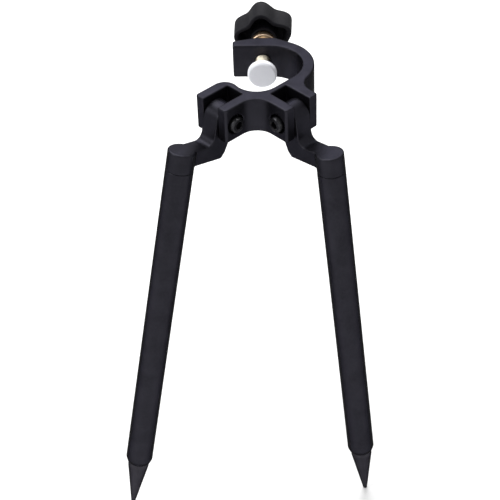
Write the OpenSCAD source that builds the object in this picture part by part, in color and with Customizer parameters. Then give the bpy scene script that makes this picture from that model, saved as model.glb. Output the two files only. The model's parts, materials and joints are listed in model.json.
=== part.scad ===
// Mini prism-pole bipod: a C-shaped screw clamp that grips a survey pole,
// with two cranked legs that swing on cap screws in forked channels.
// Origin: on the axis of the gripped pole, at mid-height of the clamp body.
// +Z points up the pole and the legs come out towards -Y, 45 degrees each side.

/* [Clamp body] */
// Height of the extruded clamp body
body_h = 20; // [16:0.5:26]
// Diameter of the pole that the seat is bored for
pole_d = 25.4; // [25:0.1:26]
// Bore clearance of the seat on the pole, on the radius
seat_gap = 0.1; // [0.05:0.05:0.2]
// Distance from the pole axis to the tips of the fork walls
fork_tip = 33.2; // [32:0.2:36]
// Distance from the pole axis to the floor of a fork channel
fork_floor = 15.8; // [15.4:0.1:16.5]
// Width of a fork channel
channel_w = 11; // [10:0.2:12]
// Thickness of a fork wall
wall_t = 5.8; // [5:0.1:7]
// Sideways place of the C arm's centre
arm_x = 6.3; // [5.5:0.1:7]
// Thickness of the C arm
arm_t = 6.2; // [5:0.1:7]
// Distance from the pole axis to the inner face of the jaw
jaw_y = 29.9; // [29:0.1:30.1]
// Distance from the pole axis to the back of the jaw's screw boss
jaw_back = 38.05; // [37:0.1:40]

/* [Clamp screw] */
// Sideways place of the clamp screw
screw_x = 2; // [0:0.1:3]
// Outside diameter of the stud's thread
stud_d = 8; // [6:0.5:8]
// Diameter of the nylon pad
pad_d = 15.6; // [12:0.2:18]
// Thickness of the nylon pad
pad_t = 3.7; // [3:0.1:4]
// Distance from the pole axis to the pad's face
pad_y = 15.9; // [14:0.1:18]
// Diameter of the brass collar in front of the knob
collar_d = 15.2; // [12:0.2:18]
// Distance from the pole axis to the front of the brass collar
collar_y = 44.4; // [42:0.2:48]
// Diameter over the knob's five lobes
knob_d = 33.2; // [26:0.2:36]
// Depth of the knob
knob_h = 16.2; // [12:0.2:20]

/* [Legs] */
// Distance from the pole axis to a leg's pivot screw
pivot_u = 26.2; // [25.8:0.1:26.6]
// Height of the pivot screws from the body's mid-height
pivot_z = -1; // [-2:0.2:0]
// Radius of the round knuckle in the channel
knuckle_r = 7.6; // [6:0.1:7.8]
// Offset of the leg tube from the pivot
tube_offset = 24.8; // [22:0.2:28]
// Drop from the pivot to the top of the crank's boss
boss_drop = 14; // [14:0.1:17]
// Outside diameter of the leg tube
tube_d = 15; // [14:0.5:16]
// Wall of the leg tube
tube_wall = 2; // [1.5:0.1:2.5]
// Drop from the pivot to the bottom end of the tube
tube_drop = 214.8; // [150:1:300]
// Length of the point below the tube, collar and cone together
point_l = 30.2; // [20:0.2:40]
// Spread of the left leg from vertical
left_spread = 13.7; // [0:0.1:45]
// Spread of the right leg from vertical
right_spread = 7.6; // [0:0.1:45]

/* [Hidden] */
$fn = 96;
run_fit = 0.05;
// Rounds reach this far past the faces that they blend into, so that all edges cross cleanly
bite = 0.01;

// Directions of the two legs in plan, and which side of its fork each screw head is on
left_az = 225;
right_az = 315;
left_head = 1;
right_head = -1;

seat_r = pole_d / 2 + seat_gap;
half_channel = channel_w / 2;
fork_half = half_channel + wall_t;
// The C arm's inner round touches the jaw's face and the flank, which leaves the seat at 45 degrees
arm_r = (seat_r + (jaw_y - arm_x) / sqrt(2)) / (1 + 1 / sqrt(2)) + bite;
arm_y = jaw_y - arm_r + bite;
jaw_left = -14.1;
jaw_round = 1.2;
// Angle below the X axis at which the seat's arc ends on the left
seat_end_left = 33;
// Shoulder round, tangent to the seat's arc and to the fork's back wall
tilt = 45 - seat_end_left;
shoulder_r = (fork_half + bite - (seat_r - bite) * sin(tilt)) / (1 + sin(tilt));
shoulder_dist = seat_r + shoulder_r - bite;
shoulder_u = shoulder_dist * cos(tilt);
shoulder_n = shoulder_dist * sin(tilt);
// Round in the valley between the two front walls
valley_r = 10.2;
valley_y = -fork_half * sqrt(2);
// Round notch between the C arm and the right fork
notch_r = 9.4;
arm_outer = arm_r + arm_t;
arm_u = (arm_x - arm_y) / sqrt(2);
arm_n = (arm_x + arm_y) / sqrt(2);
notch_n = fork_half + notch_r - bite;
notch_u = arm_u + sqrt(pow(arm_outer + notch_r - bite, 2) - pow(notch_n - arm_n, 2));

// M5 pivot screws
screw_r = 2.5;
head_r = 4.25;
head_h = 5;
hex_key = 4;
spot_r = 5.3;
spot_depth = 3.6;
washer_r = 4.6;
washer_t = 0.9;
crank_half = 5;
friction_t = 0.44;
friction_r = 6.2;
bush_r = 3.5;

// Crank and leg
arm_depth = 9;
boss_h = 11.2;
boss_round = 0.6;
tube_top = boss_drop + boss_h;
tube_bore = tube_d / 2 - tube_wall;
chamfer_r = 1;
chamfer_h = 2.7;
leg_stud_r = 4;
plug_l = 26;
point_collar_r = 5.9;
point_collar_h = 3;
point_tip_r = 1.15;
shank_l = 22;

// Clamp screw stack
stud_r = stud_d / 2;
collar_t = 3.5;
neck_r = 4.4;
knob_y = 50;
knob_lobe_r = 5.8;
knob_core_r = 13.2;
knob_wall = 2.4;
knob_web = 5;
knob_turn = 7;
hub_r = 7;

// ---- Clamp body ----

// Extrudes an outline past the body's height at both ends, which are trimmed later; a cut goes further
module slab(over = 1) {
    translate([0, 0, -body_h / 2 - over]) linear_extrude(height = body_h + 2 * over) children();
}

// A round post, as tall as a slab
module post(x, y, r, over = 1) {
    translate([x, y, -body_h / 2 - over]) cylinder(h = body_h + 2 * over, r = r);
}

// A fork along +X from the pole axis, before its channel is cut
module fork_block() {
    corner = 1.4;
    slab() translate([0, -fork_half]) square([fork_tip - corner, 2 * fork_half]);
    slab() translate([0, -fork_half + corner]) square([fork_tip, 2 * (fork_half - corner)]);
    for (s = [-1, 1]) post(fork_tip - corner, s * (fork_half - corner), corner);
}

// Cuts the left fork's back corner down to its shoulder round
module shoulder_cut() {
    difference() {
        slab(2) polygon([[-30, 0], [0, 0], [shoulder_u, -shoulder_n], [shoulder_u, -fork_half - 1],
                         [-30, -fork_half - 1]]);
        post(shoulder_u, -shoulder_n, shoulder_r, 3);
    }
}

// Fills the valley between the two front walls, for its round to be cut from
module valley_fill() {
    side = valley_r / sqrt(2);
    slab() polygon([[0, valley_y + side], [side * 1.4, valley_y - side], [-side * 1.4, valley_y - side]]);
}

// The C arm's outer round, right of its centre
module arm_round() {
    intersection() {
        post(arm_x, arm_y, arm_outer);
        slab() translate([0, arm_y - arm_outer]) square(2 * arm_outer);
    }
}

// The jaw, with its rounded left end and its flat screw boss
module jaw() {
    top_tangent = 62;
    tangent = [arm_x, arm_y] + (arm_outer - bite) * [cos(top_tangent), sin(top_tangent)];
    boss_left = -2.6;
    boss_right = tangent[0] - (jaw_back - tangent[1]) / tan(90 - top_tangent);
    end_t = 5.2;
    slab() polygon([[jaw_left + jaw_round, jaw_y - 1], [jaw_left + jaw_round, jaw_y + end_t],
                    [boss_left, jaw_back], [boss_right, jaw_back], tangent, [arm_x, arm_y]]);
    slab() translate([jaw_left, jaw_y + jaw_round]) square([3 * jaw_round, end_t - 2 * jaw_round]);
    for (y = [jaw_y + jaw_round, jaw_y + end_t - jaw_round]) post(jaw_left + jaw_round, y, jaw_round);
}

// Solid root between the C arm and the right fork, in the fork's own frame, up to the notch
module arm_root() {
    slab() polygon([[0, 0], [notch_u, 0], [notch_u, notch_n], [arm_u, arm_n]]);
}

// The open space between the seat and the jaw: the C arm's inner round, the jaw's face, and the
// flank that runs from the seat to the arm's round as a tangent to both
module clamp_space() {
    flank_way = [cos(right_az), sin(right_az)];
    post(arm_x, arm_y, arm_r, 2);
    slab(2) polygon([[0, 0], (seat_r - bite) * flank_way, [arm_x, arm_y] + (arm_r - 2 * bite) * flank_way,
                     [arm_x, arm_y]]);
    slab(2) translate([jaw_left + jaw_round, 0]) square([arm_x - jaw_left - jaw_round, jaw_y]);
}

module clamp_blank() {
    difference() {
        union() {
            rotate(left_az) difference() {
                fork_block();
                shoulder_cut();
            }
            rotate(right_az) {
                fork_block();
                arm_root();
            }
            valley_fill();
            arm_round();
            jaw();
        }
        post(0, 0, seat_r, 2);
        clamp_space();
        post(0, valley_y - (valley_r - bite) * sqrt(2), valley_r, 2);
        rotate(right_az) post(notch_u, notch_n, notch_r, 2);
        for (az = [left_az, right_az])
            rotate(az) slab(2) translate([fork_floor, -half_channel]) square([fork_tip, channel_w]);
    }
}

module pivot_cuts(az, head) {
    rotate([0, 0, az]) translate([pivot_u, 0, pivot_z]) {
        // Clearance hole in the front wall and tapped hole through the back wall
        rotate([-90 * head, 0, 0]) cylinder(h = fork_half + 1, r = screw_r + 0.25);
        rotate([90 * head, 0, 0]) cylinder(h = fork_half + 1, r = screw_r + run_fit);
        // Spot-faced seat for the washer and head
        rotate([-90 * head, 0, 0]) translate([0, 0, fork_half - spot_depth]) cylinder(h = 12, r = spot_r);
    }
}

module clamp_body() {
    trim = 3 * jaw_back;
    color([0.16, 0.16, 0.18]) difference() {
        intersection() {
            clamp_blank();
            translate([-trim / 2, -trim / 2, -body_h / 2]) cube([trim, trim, body_h]);
        }
        pivot_cuts(left_az, left_head);
        pivot_cuts(right_az, right_head);
        translate([screw_x, jaw_y - 1, 0]) rotate([-90, 0, 0]) cylinder(h = 14, r = stud_r + run_fit);
    }
}

// ---- Legs ----

// Puts a leg's own frame, origin at its pivot and -Z along its tube, in its place
module in_leg(az, spread) {
    rotate([0, 0, az]) translate([pivot_u, 0, pivot_z]) rotate([0, -spread, 0]) children();
}

// Side profile of the crank's flat arm, X outwards and Y up from the pivot
module crank_profile() {
    lower = boss_drop + arm_depth;
    inner_x = -1.6;
    corner = 2;
    fillet = 4.5;
    circle(r = knuckle_r);
    polygon([[-knuckle_r * cos(12), -knuckle_r * sin(12)], [inner_x - 0.3, -lower + corner * 1.5],
             [inner_x + corner, -lower], [tube_offset, -lower], [tube_offset, -boss_drop],
             [knuckle_r, -boss_drop], [knuckle_r, 0], [0, 0]]);
    difference() {
        translate([knuckle_r - 0.5, -boss_drop - 0.5]) square([fillet + 0.5, fillet + 0.5]);
        translate([knuckle_r + fillet, -boss_drop + fillet]) circle(r = fillet);
    }
}

module crank() {
    color([0.16, 0.16, 0.18]) difference() {
        union() {
            rotate([90, 0, 0]) translate([0, 0, -crank_half]) linear_extrude(height = 2 * crank_half) crank_profile();
            translate([tube_offset, 0, -tube_top]) cylinder(h = boss_h - boss_round, r = tube_d / 2);
            translate([tube_offset, 0, -boss_drop - boss_round])
                rotate_extrude() {
                    square([tube_d / 2 - boss_round, boss_round]);
                    translate([tube_d / 2 - boss_round, 0]) intersection() {
                        circle(r = boss_round);
                        square(boss_round);
                    }
                }
        }
        rotate([90, 0, 0]) translate([0, 0, -crank_half - 1]) cylinder(h = 2 * crank_half + 2, r = bush_r + 0.01);
        translate([tube_offset, 0, -tube_top - 1]) cylinder(h = boss_h - 1, r = leg_stud_r + 0.02);
    }
}

module pivot_bush() {
    color("darkgoldenrod") rotate([90, 0, 0]) translate([0, 0, -crank_half]) difference() {
        cylinder(h = 2 * crank_half, r = bush_r);
        translate([0, 0, -1]) cylinder(h = 2 * crank_half + 2, r = screw_r + run_fit);
    }
}

module pivot_screw(az, head) {
    seat = fork_half - spot_depth + washer_t;
    color([0.1, 0.1, 0.11]) rotate([0, 0, az]) translate([pivot_u, 0, pivot_z]) rotate([-90 * head, 0, 0])
        difference() {
            union() {
                translate([0, 0, -fork_half + 0.5]) cylinder(h = fork_half + seat - 0.5, r = screw_r);
                translate([0, 0, seat]) cylinder(h = head_h, r = head_r);
            }
            translate([0, 0, seat + head_h - 2.6]) cylinder(h = 3, r = hex_key / sqrt(3), $fn = 6);
        }
}

module spring_washer(az, head) {
    color([0.2, 0.2, 0.22]) rotate([0, 0, az]) translate([pivot_u, 0, pivot_z]) rotate([-90 * head, 0, 0])
        translate([0, 0, fork_half - spot_depth]) difference() {
            cylinder(h = washer_t, r = washer_r);
            translate([0, 0, -1]) cylinder(h = washer_t + 2, r = screw_r + 0.1);
        }
}

module friction_washers(az) {
    color([0.1, 0.1, 0.11]) rotate([0, 0, az]) translate([pivot_u, 0, pivot_z])
        for (s = [-1, 1]) rotate([-90 * s, 0, 0]) translate([0, 0, crank_half + 0.03]) difference() {
            cylinder(h = friction_t, r = friction_r);
            translate([0, 0, -1]) cylinder(h = friction_t + 2, r = screw_r + 0.1);
        }
}

module leg_stud() {
    color("silver") translate([tube_offset, 0, -tube_top - 18]) cylinder(h = 18 + boss_h - 2.5, r = leg_stud_r);
}

module top_plug() {
    color("gainsboro") translate([tube_offset, 0, -tube_top - plug_l]) difference() {
        cylinder(h = plug_l, r = tube_bore - 0.01);
        translate([0, 0, plug_l - 20]) cylinder(h = 21, r = leg_stud_r + 0.02);
    }
}

module tube() {
    color([0.14, 0.14, 0.16]) translate([tube_offset, 0, -tube_drop]) rotate_extrude()
        polygon([[tube_bore, 0], [tube_d / 2 - chamfer_r, 0], [tube_d / 2, chamfer_h],
                 [tube_d / 2, tube_drop - tube_top], [tube_bore, tube_drop - tube_top]]);
}

module point() {
    color([0.14, 0.14, 0.16]) translate([tube_offset, 0, -tube_drop]) rotate_extrude()
        polygon([[0, -point_l], [point_tip_r, -point_l], [point_collar_r, -point_collar_h], [point_collar_r, 0],
                 [tube_bore - 0.01, 0], [tube_bore - 0.01, shank_l], [0, shank_l]]);
}

module left_crank() in_leg(left_az, left_spread) crank();
module left_pivot_bush() in_leg(left_az, left_spread) pivot_bush();
module left_pivot_screw() pivot_screw(left_az, left_head);
module left_spring_washer() spring_washer(left_az, left_head);
module left_friction_washers() friction_washers(left_az);
module left_leg_stud() in_leg(left_az, left_spread) leg_stud();
module left_top_plug() in_leg(left_az, left_spread) top_plug();
module left_tube() in_leg(left_az, left_spread) tube();
module left_point() in_leg(left_az, left_spread) point();

module right_crank() in_leg(right_az, right_spread) crank();
module right_pivot_bush() in_leg(right_az, right_spread) pivot_bush();
module right_pivot_screw() pivot_screw(right_az, right_head);
module right_spring_washer() spring_washer(right_az, right_head);
module right_friction_washers() friction_washers(right_az);
module right_leg_stud() in_leg(right_az, right_spread) leg_stud();
module right_top_plug() in_leg(right_az, right_spread) top_plug();
module right_tube() in_leg(right_az, right_spread) tube();
module right_point() in_leg(right_az, right_spread) point();

// ---- Clamp screw ----

// Puts a shape that is drawn along +Z on the clamp screw's axis, at distance y from the pole
module on_screw(y) {
    translate([screw_x, y, 0]) rotate([-90, 0, 0]) children();
}

module clamp_pad() {
    rim = 0.9;
    socket = 2.2;
    color("white") on_screw(pad_y) difference() {
        rotate_extrude() polygon([[0, 0], [pad_d / 2 - rim, 0], [pad_d / 2, rim], [pad_d / 2, pad_t], [0, pad_t]]);
        translate([0, 0, pad_t - socket]) cylinder(h = socket + 1, r = stud_r - 0.9);
    }
}

module clamp_stud() {
    nose_r = stud_r - 0.95;
    nose_l = 2.1;
    color("goldenrod") {
        on_screw(pad_y + pad_t - nose_l) cylinder(h = nose_l + 1, r = nose_r);
        on_screw(pad_y + pad_t + 0.05) cylinder(h = knob_y + 6 - pad_y - pad_t, r = stud_r);
    }
}

module stud_collar() {
    color("goldenrod") on_screw(collar_y) difference() {
        union() {
            cylinder(h = collar_t, r = collar_d / 2);
            cylinder(h = knob_y + 8 - collar_y, r = neck_r + 1);
        }
        translate([0, 0, -1]) cylinder(h = knob_y + 7 - collar_y + 0.1, r = stud_r + 0.01);
    }
}

// Five round lobes on a core, drawn in by an inset
module star(inset) {
    circle(r = knob_core_r - inset);
    for (i = [0:4]) rotate(90 + knob_turn + 72 * i)
        translate([knob_d / 2 - knob_lobe_r, 0]) circle(r = knob_lobe_r - inset);
}

module star_knob() {
    color([0.17, 0.17, 0.19]) on_screw(knob_y) mirror([0, 1, 0]) difference() {
        union() {
            difference() {
                linear_extrude(height = knob_h) star(0);
                translate([0, 0, -1]) linear_extrude(height = knob_h - knob_web + 1) star(knob_wall);
            }
            translate([0, 0, 2]) cylinder(h = knob_h - 4, r = hub_r);
        }
        translate([0, 0, -1]) cylinder(h = 9.05, r = neck_r + 1.01);
    }
}

clamp_body();
left_crank();
left_pivot_bush();
left_pivot_screw();
left_spring_washer();
left_friction_washers();
left_leg_stud();
left_top_plug();
left_tube();
left_point();
right_crank();
right_pivot_bush();
right_pivot_screw();
right_spring_washer();
right_friction_washers();
right_leg_stud();
right_top_plug();
right_tube();
right_point();
clamp_stud();
stud_collar();
star_knob();
clamp_pad();
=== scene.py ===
import json
import math

import bpy
import numpy as np
from mathutils import Matrix, Vector


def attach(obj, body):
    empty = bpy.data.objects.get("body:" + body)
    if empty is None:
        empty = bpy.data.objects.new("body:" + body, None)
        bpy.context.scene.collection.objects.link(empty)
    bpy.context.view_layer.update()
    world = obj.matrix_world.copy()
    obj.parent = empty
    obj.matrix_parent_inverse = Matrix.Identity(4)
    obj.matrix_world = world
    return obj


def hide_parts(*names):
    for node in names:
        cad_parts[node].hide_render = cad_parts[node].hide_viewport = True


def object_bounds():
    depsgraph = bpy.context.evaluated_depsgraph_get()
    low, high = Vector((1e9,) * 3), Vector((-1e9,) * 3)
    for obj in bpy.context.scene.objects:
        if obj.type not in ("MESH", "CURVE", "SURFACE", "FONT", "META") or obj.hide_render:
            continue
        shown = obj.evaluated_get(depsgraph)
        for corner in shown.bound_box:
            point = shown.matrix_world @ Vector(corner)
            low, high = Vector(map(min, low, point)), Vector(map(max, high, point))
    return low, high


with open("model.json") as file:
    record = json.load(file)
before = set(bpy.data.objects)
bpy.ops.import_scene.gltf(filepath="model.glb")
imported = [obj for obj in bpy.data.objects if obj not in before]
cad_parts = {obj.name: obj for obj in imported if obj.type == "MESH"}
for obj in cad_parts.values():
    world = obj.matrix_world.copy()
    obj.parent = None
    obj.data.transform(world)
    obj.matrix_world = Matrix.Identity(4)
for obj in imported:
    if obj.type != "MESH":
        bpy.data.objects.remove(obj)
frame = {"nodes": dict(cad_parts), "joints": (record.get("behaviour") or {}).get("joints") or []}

cad_box = [list(corner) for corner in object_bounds()]
mm = 0.001


# ---- Clamp body ----
# The body is sawn from a thick aluminium extrusion: a seat for the pole, two forks for the legs
# and a C arm that reaches round to the jaw. Its edges are tumbled soft before it is anodised
# black, and each fork wall is bored for its pivot screw.

def tumbled(node, cell, passes):
    """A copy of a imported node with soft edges. Its doubled corners are merged, it is remeshed in
    even cells, and in each pass every point P moves half-way to the mean of its neighbours. How
    far P sinks along its normal becomes the attribute 'edge': 0 on a flat face, 1 on a corner."""
    piece = bpy.data.objects.new(node + "_finished", frame["nodes"][node].data.copy())
    bpy.context.scene.collection.objects.link(piece)
    weld = piece.modifiers.new("weld", "WELD")
    weld.merge_threshold = 0.002 * mm
    cells = piece.modifiers.new("cells", "REMESH")
    cells.mode = "VOXEL"
    cells.voxel_size = cell

    def applied():
        mesh = bpy.data.meshes.new_from_object(piece.evaluated_get(bpy.context.evaluated_depsgraph_get()))
        piece.modifiers.clear()
        piece.data = mesh
        points = np.empty(len(mesh.vertices) * 3)
        mesh.vertices.foreach_get("co", points)
        return points.reshape(-1, 3)

    sharp = applied()
    out = np.empty(len(sharp) * 3)
    piece.data.vertex_normals.foreach_get("vector", out)
    relax = piece.modifiers.new("relax", "SMOOTH")
    relax.factor = 0.5
    relax.iterations = passes
    sunk = np.sum((sharp - applied()) * out.reshape(-1, 3), axis=1)
    edge = np.clip(sunk / (0.35 * cell), 0, 1).astype(np.float32)
    piece.data.attributes.new("edge", "FLOAT", "POINT").data.foreach_set("value", edge)
    piece.data.materials.clear()
    piece.data.shade_smooth()
    return piece


def finish(name, colour, roughness, grain, depth, mottle=0.25, edge_light=0.0, metal=0.0, gloss=0.5,
           rim=1.0, stretch=(1, 1, 1), turned_marks=False):
    """A surface finish. Its colour drifts between two shades over broad patches and fine grain of
    the given size, rubbed edges go lighter, roughness follows the grain, and the grain stands
    out by the given depth. Turned marks run round the piece, as a lathe tool leaves them."""
    material = bpy.data.materials.new(name)
    material.use_nodes = True
    nodes, links = material.node_tree.nodes, material.node_tree.links
    shader = nodes["Principled BSDF"]
    shader.inputs["Metallic"].default_value = metal
    shader.inputs["Specular IOR Level"].default_value = gloss
    shader.inputs["Specular Tint"].default_value = (rim, rim, rim, 1)

    def noise(size, detail, source):
        node = nodes.new("ShaderNodeTexNoise")
        node.inputs["Scale"].default_value = 1 / size
        node.inputs["Detail"].default_value = detail
        links.new(source, node.inputs["Vector"])
        return node.outputs["Fac"]

    def ramp(source, low, high, start, end):
        node = nodes.new("ShaderNodeMapRange")
        node.inputs["From Min"].default_value = low
        node.inputs["From Max"].default_value = high
        node.inputs["To Min"].default_value = start
        node.inputs["To Max"].default_value = end
        links.new(source, node.inputs["Value"])
        return node.outputs["Result"]

    def mix(factor, first, other):
        node = nodes.new("ShaderNodeMix")
        node.data_type = "RGBA"
        links.new(factor, node.inputs["Factor"])
        for socket, value in (("A", first), ("B", other)):
            target = [s for s in node.inputs if s.name == socket and s.type == "RGBA"][0]
            if isinstance(value, tuple):
                target.default_value = (*value, 1)
            else:
                links.new(value, target)
        return [s for s in node.outputs if s.type == "RGBA"][0]

    place = nodes.new("ShaderNodeTexCoord").outputs["Object"]
    scaled = nodes.new("ShaderNodeMapping")
    scaled.inputs["Scale"].default_value = stretch
    marks = place
    if turned_marks:
        lathe = nodes.new("ShaderNodeAttribute")
        lathe.attribute_name = "lathe"
        marks = lathe.outputs["Vector"]
    links.new(marks, scaled.inputs["Vector"])
    fine = noise(grain, 3, scaled.outputs["Vector"])
    broad = noise(9 * mm, 4, place)
    shade = mix(ramp(broad, 0.35, 0.65, 0, 1), colour, tuple(c * (1 - mottle) for c in colour))
    shade = mix(ramp(fine, 0.3, 0.75, 0, 0.35), shade, tuple(c * (1 + mottle) for c in colour))
    if edge_light:
        edge = nodes.new("ShaderNodeAttribute")
        edge.attribute_name = "edge"
        rub = nodes.new("ShaderNodeMath")
        rub.operation = "MULTIPLY"
        links.new(edge.outputs["Fac"], rub.inputs[0])
        links.new(ramp(noise(1.6 * mm, 5, place), 0.42, 0.72, 0.15, 1), rub.inputs[1])
        shade = mix(rub.outputs["Value"], shade, tuple(c + edge_light for c in colour))
    links.new(shade, shader.inputs["Base Color"])
    links.new(ramp(fine, 0.3, 0.7, roughness - 0.06, roughness + 0.07), shader.inputs["Roughness"])
    bump = nodes.new("ShaderNodeBump")
    bump.inputs["Distance"].default_value = depth
    links.new(fine, bump.inputs["Height"])
    links.new(bump.outputs["Normal"], shader.inputs["Normal"])
    return material


def dress(piece, material, slot, body, *nodes):
    """Gives a piece its finish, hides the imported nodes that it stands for, and lets it ride."""
    piece.data.materials.append(material)
    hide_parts(*nodes)
    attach(piece, body)
    return piece


black_anodised = finish("black_anodised", (0.0270, 0.0265, 0.0335), 0.40, 0.16 * mm, 0.010 * mm,
                        edge_light=0.012, metal=0.92, gloss=0.3, rim=0.15, stretch=(1, 1, 0.12))

dress(tumbled("clamp_body", 0.36 * mm, 6), black_anodised, "black_anodised", "clamp", "clamp_body")


# ---- Cranks ----
# Each leg starts with a cranked block that swings in its fork: a round knuckle, a flat arm, and
# a round boss that the tube screws onto. They are milled, tumbled and anodised with the body.

for side in ("left", "right"):
    dress(tumbled(side + "_crank", 0.3 * mm, 14), black_anodised, "black_anodised", side + "_leg",
          side + "_crank")


# ---- Leg tubes ----
# Drawn aluminium tube, 15 mm across with a 2 mm wall, faced square where it meets the boss and
# chamfered at the bottom. The drawing die leaves faint lines along it under the black anodising.

def softened(points, size, steps=4):
    """A profile with its corners rounded: each inner corner P of the point list becomes a curve
    (1-t)^2 A + 2t(1-t) P + t^2 B, where A and B lie size away from P along its two sides, or
    less on a short side. The first and last points stay."""
    p = np.array(points, float)
    before, after = p[:-2] - p[1:-1], p[2:] - p[1:-1]
    long_in, long_out = (np.linalg.norm(v, axis=1, keepdims=True) for v in (before, after))
    reach = np.minimum(size, 0.45 * np.minimum(long_in, long_out))
    a, b = p[1:-1] + before / long_in * reach, p[1:-1] + after / long_out * reach
    t = np.linspace(0, 1, steps + 1)[None, :, None]
    curves = (1 - t) ** 2 * a[:, None] + 2 * t * (1 - t) * p[1:-1][:, None] + t ** 2 * b[:, None]
    return np.vstack([p[:1], curves.reshape(-1, 2), p[-1:]])


def round_piece(name, place, radius, height, ring=False):
    """A surface swept round an axis. Row i, column j is the point at the angle
    a = 2 pi j / columns, radius[i, j] from the axis and height[i] along it. A row of radius zero
    is a single pole, and a ring's last row joins its first. The attribute 'edge' is 1 where the
    profile bends, and 'lathe' holds each point's (radius, height)."""
    radius = np.atleast_2d(np.asarray(radius, float))
    rows, columns = radius.shape
    height = np.broadcast_to(np.asarray(height, float).reshape(rows, -1), radius.shape)
    a = np.linspace(0, 2 * math.pi, columns, endpoint=False)
    origin, x, y, z = place
    points = (origin + radius[..., None] * (np.cos(a)[None, :, None] * x + np.sin(a)[None, :, None] * y)
              + height[..., None] * z)
    index = np.arange(rows * columns).reshape(rows, columns)
    poles = np.all(radius < 1e-9, axis=1)
    index[poles] = index[poles][:, :1]
    nxt = np.roll(index, -1, axis=1)
    low, high = (slice(None), np.roll(np.arange(rows), -1)) if ring else (slice(0, -1), slice(1, None))
    quads = np.stack([index[low], nxt[low], nxt[high], index[high]], axis=-1).reshape(-1, 4)
    fan_low, fan_high = quads[:, 0] == quads[:, 1], quads[:, 2] == quads[:, 3]
    faces = (quads[~fan_low & ~fan_high].tolist() + quads[fan_low][:, [0, 2, 3]].tolist()
             + quads[fan_high][:, [0, 1, 2]].tolist())
    used, renumbered = np.unique(np.concatenate([np.ravel(f) for f in faces]), return_inverse=True)
    sizes = np.array([len(f) for f in faces])
    starts = np.cumsum(sizes) - sizes
    mesh = bpy.data.meshes.new(name)
    mesh.from_pydata(points.reshape(-1, 3)[used].tolist(), [],
                     [renumbered[s:s + n].tolist() for s, n in zip(starts, sizes)])
    mesh.shade_smooth()
    bends = np.zeros(rows)
    profile = np.column_stack([radius.mean(axis=1), height.mean(axis=1)])
    way = np.diff(profile, axis=0)
    turn = np.abs(np.diff(np.unwrap(np.arctan2(way[:, 1], way[:, 0] + 1e-12))))
    bends[1:-1] = np.clip(turn / 0.3, 0, 1)
    edge = np.repeat(bends, columns)[used].astype(np.float32)
    mesh.attributes.new("edge", "FLOAT", "POINT").data.foreach_set("value", edge)
    lathe = np.stack([radius, height, 0 * radius], axis=-1).reshape(-1, 3)[used].astype(np.float32)
    mesh.attributes.new("lathe", "FLOAT_VECTOR", "POINT").data.foreach_set("vector", lathe.ravel())
    mesh.set_sharp_from_angle(angle=math.radians(50))
    piece = bpy.data.objects.new(name, mesh)
    bpy.context.scene.collection.objects.link(piece)
    return piece


def turned(name, place, profile, ring=False, columns=96):
    """A lathe piece: the profile's (radius, height) points are carried round the axis."""
    profile = np.asarray(profile)
    return round_piece(name, place, np.repeat(profile[:, :1], columns, axis=1), profile[:, 1], ring)


def leg_place(side):
    """A leg's own frame at its pivot: X outwards, Z up along the tube. The swing's lower stop is
    the leg hanging plumb, so its rest angle is minus that limit."""
    joint = next(j for j in frame["joints"] if j["name"] == side + "_leg_swing")
    hinge = np.array(joint["axis"], float)
    spread = -math.radians(joint["range_deg"][0])
    outwards = np.cross(hinge, [0, 0, 1])
    outwards *= np.sign(outwards @ (np.array(joint["pos_m"]) * [1, 1, 0]))
    up = np.array([0, 0, 1])
    x = outwards * math.cos(spread) + up * math.sin(spread)
    z = up * math.cos(spread) - outwards * math.sin(spread)
    return np.array(joint["pos_m"], float), x, np.cross(z, x), z


def along_leg(side, out, up):
    """The leg's frame moved out from the pivot and up or down along the tube."""
    origin, x, y, z = leg_place(side)
    return origin + out * x + up * z, x, y, z


tube_out = 24.8 * mm
tube_r = 7.5 * mm
tube_bore = 5.5 * mm
boss_bottom = -25.2 * mm
tube_bottom = -214.8 * mm

drawn_anodised = finish("drawn_anodised", (0.0270, 0.0262, 0.0335), 0.38, 0.22 * mm, 0.006 * mm,
                        edge_light=0.012, metal=0.92, gloss=0.3, rim=0.15, stretch=(1, 1, 0.04))

for side in ("left", "right"):
    tube = turned(side + "_tube_drawn", along_leg(side, tube_out, tube_bottom), softened([
        (tube_bore, 4 * mm), (tube_bore, 0), (tube_r - 1 * mm, 0), (tube_r, 2.7 * mm),
        (tube_r, boss_bottom - tube_bottom - 0.25 * mm), (tube_r - 0.25 * mm, boss_bottom - tube_bottom),
        (tube_bore, boss_bottom - tube_bottom), (tube_bore, 8 * mm)], 0.4 * mm), ring=True)
    dress(tube, drawn_anodised, "black_anodised", side + "_leg", side + "_tube")


# ---- Points ----
# Turned steel points: a spigot pressed into the tube, a short collar, and a long cone with a
# small flat tip that bites into the ground. They are chemically blacked.

blacked_steel = finish("blacked_steel", (0.040, 0.038, 0.046), 0.38, 0.14 * mm, 0.008 * mm, edge_light=0.03,
                       metal=0.92, gloss=0.3, rim=0.2, turned_marks=True)

for side in ("left", "right"):
    point = turned(side + "_point_turned", along_leg(side, tube_out, tube_bottom), softened([
        (0, -30.2 * mm), (1.15 * mm, -30.2 * mm), (5.9 * mm, -3 * mm), (5.9 * mm, 0),
        (tube_bore - 0.01 * mm, 0.05 * mm), (tube_bore - 0.01 * mm, 22 * mm), (0, 22 * mm)], 0.35 * mm))
    dress(point, blacked_steel, "black_steel", side + "_leg", side + "_point")


# ---- Pivot screws ----
# An M5 socket cap screw holds each leg in its fork, with a split spring washer under its knurled
# head. The head sits in a spot face in the front wall and the thread in the back wall.

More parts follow.
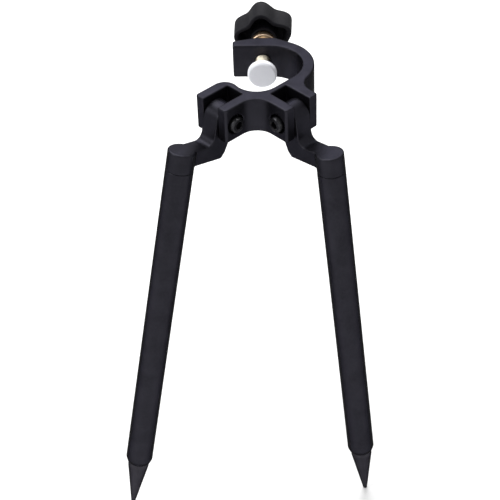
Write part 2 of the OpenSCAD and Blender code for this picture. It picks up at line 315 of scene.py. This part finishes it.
def thread(radius, depth, pitch, bottom, top, columns=64, steps=8):
    """Rows of a right-handed thread. At height h and angle a the phase is h / pitch - a / (2 pi),
    and the radius is less by the depth times (1 + cos(2 pi phase)) / 2. The thread fades out
    over one pitch at both ends, where the radius is less by the full depth."""
    h = np.linspace(bottom, top, max(int((top - bottom) / pitch * steps), 2))[:, None]
    a = np.linspace(0, 1, columns, endpoint=False)[None, :]
    wave = 0.5 + 0.5 * np.cos(2 * math.pi * (h / pitch - a))
    inside = np.clip(np.minimum(h - bottom, top - h) / pitch, 0, 1)
    return radius - depth * (1 - inside * (1 - wave)), h[:, 0]


def stacked(*bands):
    """Bands of rows, one above the other: each is a (radius rows, heights) pair."""
    columns = max(np.shape(radius)[1] for radius, _ in bands)
    return (np.vstack([np.broadcast_to(radius, (len(height), columns)) for radius, height in bands]),
            np.concatenate([height for _, height in bands]))


def band(points, size=0.1 * mm):
    """Plain rows from softened (radius, height) points."""
    profile = softened(points, size, 3)
    return profile[:, :1], profile[:, 1]


def screw_place(side):
    """A pivot screw's axis: its head faces the valley between the two forks."""
    joint = next(j for j in frame["joints"] if j["name"] == side + "_leg_swing")
    z = np.array(joint["axis"], float) * (1 if side == "right" else -1)
    y = np.array([0, 0, 1.0])
    return np.array(joint["pos_m"], float), np.cross(y, z), y, z


def hexagon(width):
    """The radius of a hexagon, width across its flats, at 144 angles round its centre: half the
    width divided by cos(b), where b is the angle from the nearest flat's middle."""
    a = np.linspace(0, 2 * math.pi, 144, endpoint=False)[None, :]
    return width / 2 / np.cos((a + math.pi / 6) % (math.pi / 3) - math.pi / 6)


screw_r = 2.5 * mm
seat = 8.6 * mm
head_r = 4.25 * mm
head_top = seat + 5 * mm
around = np.linspace(0, 2 * math.pi, 144, endpoint=False)[None, :]
knurl = head_r - 0.11 * mm * (0.5 + 0.5 * np.cos(36 * around))
# The hexagon socket, 4 mm across its flats, with a small lead-in at its mouth
socket_depths = np.array([0.0, 0.35, 1.4, 2.5]) * mm
socket_widths = np.array([4.15, 4.0, 4.0, 4.0]) * mm

screw_black = finish("screw_black", (0.020, 0.020, 0.024), 0.32, 0.10 * mm, 0.005 * mm, edge_light=0.10,
                     metal=0.9, gloss=0.3, rim=0.3, turned_marks=True)

for side in ("left", "right"):
    radius, height = stacked(
        (np.zeros((1, 144)), np.array([-10.8 * mm])),
        thread(screw_r, 0.42 * mm, 0.8 * mm, -10.7 * mm, -5.2 * mm, 144),
        band([(screw_r - 0.3 * mm, -5.0 * mm), (screw_r, -4.8 * mm), (screw_r, seat),
              (head_r - 0.5 * mm, seat)]),
        (knurl - 0.25 * mm, np.array([seat + 0.05 * mm])),
        (knurl, np.array([seat + 0.3 * mm, seat + 2 * mm, head_top - 0.9 * mm])),
        band([(head_r - 0.12 * mm, head_top - 0.75 * mm), (head_r - 0.22 * mm, head_top - 0.3 * mm),
              (head_r - 0.75 * mm, head_top), (2.75 * mm, head_top)], 0.2 * mm),
        (np.vstack([hexagon(width) for width in socket_widths]), head_top - socket_depths),
        (np.zeros((1, 144)), np.array([head_top - 2.6 * mm])))
    screw = round_piece(side + "_cap_screw", screw_place(side), radius, height)
    dress(screw, screw_black, "black_screw", "clamp", side + "_pivot_screw")


def split_ring(name, place, inner, outer, bottom, top, gap=0.10, columns=90):
    """A spring washer: a square section carried round the axis from the gap back to the gap. It
    rises by a fifth of its height over the turn, and both ends are closed."""
    rise = 0.2 * (top - bottom)
    soft = 0.12 * mm
    section = np.array([(inner, bottom + soft), (inner + soft, bottom), (outer - soft, bottom),
                        (outer, bottom + soft), (outer, top - rise - soft), (outer - soft, top - rise),
                        (inner + soft, top - rise), (inner, top - rise - soft)])
    t = np.linspace(0, 1, columns)
    a = gap + t * (2 * math.pi - 2 * gap)
    origin, x, y, z = place
    r, h = section[:, None, 0], section[:, None, 1] + rise * t
    points = (origin + r[..., None] * (np.cos(a)[None, :, None] * x + np.sin(a)[None, :, None] * y)
              + h[..., None] * z)
    index = np.arange(len(section) * columns).reshape(len(section), columns)
    below = np.roll(index, -1, axis=0)
    quads = np.stack([index[:, :-1], index[:, 1:], below[:, 1:], below[:, :-1]], axis=-1).reshape(-1, 4)
    mesh = bpy.data.meshes.new(name)
    mesh.from_pydata(points.reshape(-1, 3).tolist(), [],
                     quads.tolist() + [index[:, 0].tolist(), index[::-1, -1].tolist()])
    mesh.validate()
    mesh.shade_smooth()
    mesh.set_sharp_from_angle(angle=math.radians(35))
    piece = bpy.data.objects.new(name, mesh)
    bpy.context.scene.collection.objects.link(piece)
    return piece


washer_steel = finish("washer_steel", (0.050, 0.050, 0.054), 0.34, 0.12 * mm, 0.005 * mm, metal=0.92,
                      gloss=0.4, rim=0.5)

for side in ("left", "right"):
    ring = split_ring(side + "_split_washer", screw_place(side), 2.62 * mm, 4.58 * mm, 7.7 * mm, 8.6 * mm)
    dress(ring, washer_steel, "black_screw", "clamp", side + "_spring_washer")


# ---- Fittings inside the joints ----
# A brass bush lines each crank, and a filled nylon washer lies on both sides of its knuckle. A
# threaded steel stud runs from the boss down into an aluminium plug in the top of the tube.

bush_brass = finish("bush_brass", (0.62, 0.44, 0.20), 0.30, 0.12 * mm, 0.004 * mm, metal=1.0)
filled_nylon = finish("filled_nylon", (0.020, 0.020, 0.022), 0.60, 0.25 * mm, 0.010 * mm, gloss=0.3)
plain_steel = finish("plain_steel", (0.52, 0.52, 0.54), 0.32, 0.15 * mm, 0.006 * mm, metal=1.0,
                     stretch=(1, 1, 0.2))
bare_aluminium = finish("bare_aluminium", (0.72, 0.73, 0.75), 0.36, 0.18 * mm, 0.006 * mm, metal=1.0)

for side in ("left", "right"):
    for fitting, material in (("pivot_bush", bush_brass), ("friction_washers", filled_nylon),
                              ("leg_stud", plain_steel), ("top_plug", bare_aluminium)):
        node = frame["nodes"][side + "_" + fitting]
        node.data.materials.clear()
        node.data.materials.append(material)


# ---- Clamp screw ----
# An M8 brass stud runs through the jaw. A turned brass collar with a short sleeve is pressed on
# its back end, and the knob is moulded on the sleeve. The stud's nose turns in the pad.

screw_x = 2 * mm


def on_clamp_screw(y):
    """The clamp screw's axis at a distance y from the pole, with height away from the pole."""
    return (np.array([screw_x, y, 0]), np.array([1.0, 0, 0]), np.array([0, 0, -1.0]), np.array([0, 1.0, 0]))


# The stud's brass is painted pale cream, lighter than the collar's brass: a painted highlight that stands in
# for the bright light the stud catches.
stud_brass_painted_highlight = finish("stud_brass_painted_highlight", (0.95, 0.87, 0.70), 0.36, 0.10 * mm, 0.004 * mm, mottle=0.15,
                    edge_light=0.05, metal=1.0, turned_marks=True)

radius, height = stacked(
    (np.zeros((1, 96)), np.array([17.5 * mm])),
    band([(2.7 * mm, 17.5 * mm), (3.05 * mm, 17.8 * mm), (3.05 * mm, 19.62 * mm), (3.35 * mm, 19.66 * mm)]),
    thread(4 * mm, 0.35 * mm, 1.25 * mm, 19.7 * mm, 43.8 * mm, 96, 10),
    band([(3.9 * mm, 44.0 * mm), (3.95 * mm, 44.2 * mm), (3.95 * mm, 55.8 * mm), (3.6 * mm, 56.04 * mm)]),
    (np.zeros((1, 96)), np.array([56.05 * mm])))
stud = round_piece("threaded_stud", on_clamp_screw(0), radius, height)
dress(stud, stud_brass_painted_highlight, "brass", "clamp_screw", "clamp_stud")

collar_brass = finish("collar_brass", (0.56, 0.40, 0.27), 0.30, 0.12 * mm, 0.005 * mm, mottle=0.2,
                      edge_light=0.12, metal=1.0, turned_marks=True)

collar = turned("turned_collar", on_clamp_screw(0), softened([
    (4.01 * mm, 50 * mm), (4.01 * mm, 44.7 * mm), (4.3 * mm, 44.4 * mm), (7.1 * mm, 44.4 * mm),
    (7.6 * mm, 44.9 * mm), (7.6 * mm, 47.5 * mm), (7.2 * mm, 47.9 * mm), (5.4 * mm, 47.9 * mm),
    (5.4 * mm, 58 * mm), (4.01 * mm, 58 * mm), (4.01 * mm, 52 * mm)], 0.25 * mm), ring=True)
dress(collar, collar_brass, "brass", "clamp_screw", "stud_collar")


# ---- Star knob ----
# A hollow five-lobed knob moulded in black plastic with a fine spark texture. Its open side faces
# the clamp, with a hub on the brass sleeve, and its rims are well rounded for the fingers.

def star_edge(tip, valley, first, columns=240):
    """The knob's radius round its axis: valley + (tip - valley) (1 + cos 5(a - first)) / 2."""
    a = np.linspace(0, 2 * math.pi, columns, endpoint=False)[None, :]
    return valley + (tip - valley) * (0.5 + 0.5 * np.cos(5 * (a - first)))


knob_r = 16.6 * mm
profile = softened([
    (0, 65.6 * mm), (4 * mm, 65.6 * mm), (8 * mm, 66.0 * mm), (13.9 * mm, 66.2 * mm), (knob_r, 65.2 * mm),
    (knob_r, 58 * mm), (knob_r - 0.15 * mm, 50.0 * mm), (knob_r - 2.2 * mm, 50.0 * mm),
    (knob_r - 2.5 * mm, 52 * mm), (knob_r - 2.6 * mm, 61.2 * mm), (10 * mm, 61.2 * mm),
    (7.05 * mm, 61.2 * mm),
    (7.0 * mm, 56 * mm), (6.95 * mm, 52.0 * mm), (5.41 * mm, 52.0 * mm), (5.41 * mm, 57 * mm),
    (5.41 * mm, 58.05 * mm), (0, 58.05 * mm)], 1.1 * mm, 6)[::-1]
# The hub is round, and the star shape comes in smoothly between it and the wall
star_share = np.clip((profile[:, :1] - 7.6 * mm) / (4.4 * mm), 0, 1)
star_share = star_share ** 2 * (3 - 2 * star_share)
knob_turn = math.radians(97)
lobes = star_edge(knob_r, 13.25 * mm, -knob_turn) - knob_r
knob = round_piece("moulded_knob", on_clamp_screw(0), profile[:, :1] + star_share * lobes, profile[:, 1])

knob_plastic = finish("knob_plastic", (0.0115, 0.0112, 0.0140), 0.66, 0.30 * mm, 0.030 * mm, edge_light=0.006,
                      gloss=0.05, mottle=0.15)
dress(knob, knob_plastic, "black_plastic", "clamp_screw", "star_knob")


# ---- Pad ----
# A turned white nylon pad, pressed on the stud's nose, that bears on the pole without marking it.
# Faint tool rings show on its face, and its rim is chamfered.

pad_nylon = finish("pad_nylon", (0.93, 0.94, 1.0), 0.42, 0.20 * mm, 0.008 * mm, mottle=0.04,
                   edge_light=0.12, turned_marks=True)

pad = turned("turned_pad", on_clamp_screw(0), softened([
    (0, 15.9 * mm), (4 * mm, 15.9 * mm), (6.9 * mm, 15.9 * mm), (7.8 * mm, 16.8 * mm), (7.8 * mm, 19.3 * mm),
    (7.5 * mm, 19.6 * mm), (3.3 * mm, 19.6 * mm), (3.1 * mm, 19.4 * mm), (3.1 * mm, 17.4 * mm),
    (0, 17.4 * mm)], 0.2 * mm))
dress(pad, pad_nylon, "nylon", "pad_carriage", "clamp_pad")


# ---- Studio ----
# A pale floor, a large soft box overhead, a low one behind, one on the left, and the camera.

floor_z = cad_box[0][2]
floor_mesh = bpy.data.meshes.new("floor")
reach = 6.0
floor_mesh.from_pydata([(-reach, -reach, floor_z), (reach, -reach, floor_z), (reach, reach, floor_z),
                        (-reach, reach, floor_z)], [], [(0, 1, 2, 3)])
floor = bpy.data.objects.new("floor", floor_mesh)
bpy.context.scene.collection.objects.link(floor)
floor_paint = bpy.data.materials.new("floor_paint")
floor_paint.use_nodes = True
floor_paint.node_tree.nodes["Principled BSDF"].inputs["Base Color"].default_value = (0.93, 0.93, 0.93, 1)
floor_paint.node_tree.nodes["Principled BSDF"].inputs["Roughness"].default_value = 0.9
floor_mesh.materials.append(floor_paint)

world = bpy.data.worlds.new("studio")
world.use_nodes = True
world.node_tree.nodes["Background"].inputs["Color"].default_value = (1, 1, 1, 1)
world.node_tree.nodes["Background"].inputs["Strength"].default_value = 0.6
bpy.context.scene.world = world


def soft_box(name, place, aim, size, power):
    """A square area light that faces its aim."""
    data = bpy.data.lights.new(name, "AREA")
    data.size = size
    data.energy = power
    light = bpy.data.objects.new(name, data)
    light.location = place
    light.rotation_euler = (Vector(aim) - Vector(place)).to_track_quat("-Z", "Y").to_euler()
    bpy.context.scene.collection.objects.link(light)


soft_box("overhead", (-0.25, 0.55, 1.0), (0, 0, -0.05), 0.9, 10)
soft_box("behind", (0.05, 1.30, 0.42), (0, 0, 0), 0.9, 15)
soft_box("left", (-0.9, -0.4, 0.6), (0, 0, -0.1), 0.5, 4)

lens = bpy.data.cameras.new("camera")
lens.sensor_width = 36
lens.lens = 115.2
lens.clip_start = 0.01
camera = bpy.data.objects.new("camera", lens)
aim = Vector((-7.1, 0, -107.2)) * mm
distance = 907.5 * mm
azimuth, elevation, roll = (math.radians(v) for v in (2.97, 39.85, -2.12))
away = Vector((math.sin(azimuth) * math.cos(elevation), -math.cos(azimuth) * math.cos(elevation),
               math.sin(elevation)))
facing = (-away).to_track_quat("-Z", "Y").to_matrix().to_4x4()
camera.matrix_world = Matrix.Translation(aim + away * distance) @ facing @ Matrix.Rotation(roll, 4, "Z")
bpy.context.scene.collection.objects.link(camera)
bpy.context.scene.camera = camera
bpy.context.scene.view_settings.view_transform = "Standard"
